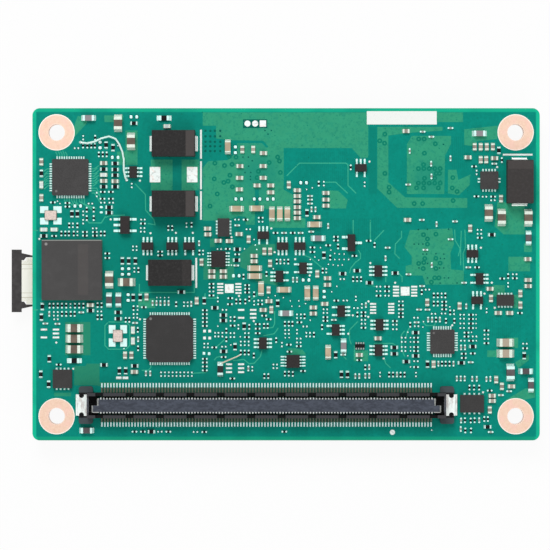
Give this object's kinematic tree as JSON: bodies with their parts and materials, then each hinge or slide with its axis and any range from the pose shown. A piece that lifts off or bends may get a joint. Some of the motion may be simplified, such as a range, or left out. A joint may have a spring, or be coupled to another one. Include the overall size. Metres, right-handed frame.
{
  "type": "system on module",
  "caption": "Small green circuit-board computer module with a long board-to-board connector, chips, power parts and a flat-cable connector with a sliding lock.",
  "frame": {"origin": "centre of the four mounting holes, on the connector-side face of the board", "axes": "+X along the board's long side, +Y away from the carrier connector, +Z out of the connector-side face"},
  "size_m": [0.0876, 0.055, 0.0086],
  "materials": {
    "bare_copper": "bare copper with a tarnished sheen",
    "bead_ceramic": "fired",
    "black_moulding": "moulded, satin",
    "capacitor_ceramic": "fired",
    "chip_mould": "fine-grained moulding compound",
    "choke_powder": "pressed metal powder",
    "contact_metal": "gold-flashed",
    "crystal_ceramic": "matt",
    "crystal_metal": "rolled",
    "ivory_moulding": "moulded",
    "laminate": "solder mask, satin",
    "package_substrate": "package laminate",
    "resistor_glaze": "glaze",
    "silicon": "polished back of the die",
    "solder": "reflowed solder",
    "tantalum_mould": "moulding compound",
    "tinned_metal": "tinned",
    "wire_coat": "thin insulation, soldered ends"
  },
  "bodies": {
    "module": {"board": "laminate", "screw_lands": "bare_copper", "open_lands": "solder", "connector_housing": "black_moulding", "connector_contacts": "contact_metal", "connector_hold_downs": "tinned_metal", "fpc_housing": "ivory_moulding", "fpc_contacts": "contact_metal", "fpc_hold_downs": "tinned_metal", "controller_balls": "solder", "controller_substrate": "package_substrate", "controller_mould": "chip_mould", "qfn48_body": "chip_mould", "qfn68_body": "chip_mould", "qfn32_body": "chip_mould", "qfn20_body": "chip_mould", "dfn_bodies": "chip_mould", "leadless_pads": "solder", "msop_bodies": "chip_mould", "msop_leads": "tinned_metal", "sot_bodies": "chip_mould", "sot_leads": "tinned_metal", "tantalum_bodies": "tantalum_mould", "tantalum_terminals": "tinned_metal", "crystal_bases": "crystal_ceramic", "crystal_lids": "crystal_metal", "crystal_lands": "solder", "capacitor_bodies_0805": "capacitor_ceramic", "capacitor_bodies_0603": "capacitor_ceramic", "capacitor_bodies_0402": "capacitor_ceramic", "capacitor_terminals": "solder", "capacitor_terminals_0402": "solder", "resistor_bodies": "resistor_glaze", "resistor_terminals": "solder", "resistor_bodies_0201": "resistor_glaze", "capacitor_bodies_0201": "capacitor_ceramic", "terminals_0201": "solder", "array_body": "resistor_glaze", "array_terminals": "solder", "bead_bodies": "bead_ceramic", "bead_terminals": "solder", "rework_wires": "wire_coat", "cpu_balls": "solder", "cpu_substrate": "package_substrate", "cpu_die": "silicon", "memory_packages": "chip_mould", "storage_package": "chip_mould", "network_body": "chip_mould", "power_manager_body": "chip_mould", "back_pads": "solder", "choke_bodies": "choke_powder", "choke_terminals": "tinned_metal", "back_capacitor_bodies": "capacitor_ceramic", "back_capacitor_terminals": "solder"},
    "cable_latch": {"fpc_slider": "black_moulding"}
  },
  "joints": [
    {"name": "cable_latch_slide", "type": "slide", "parent": "module", "child": "cable_latch", "axis": [-1, 0, 0], "range_m": [0, 0.001]}
  ]
}
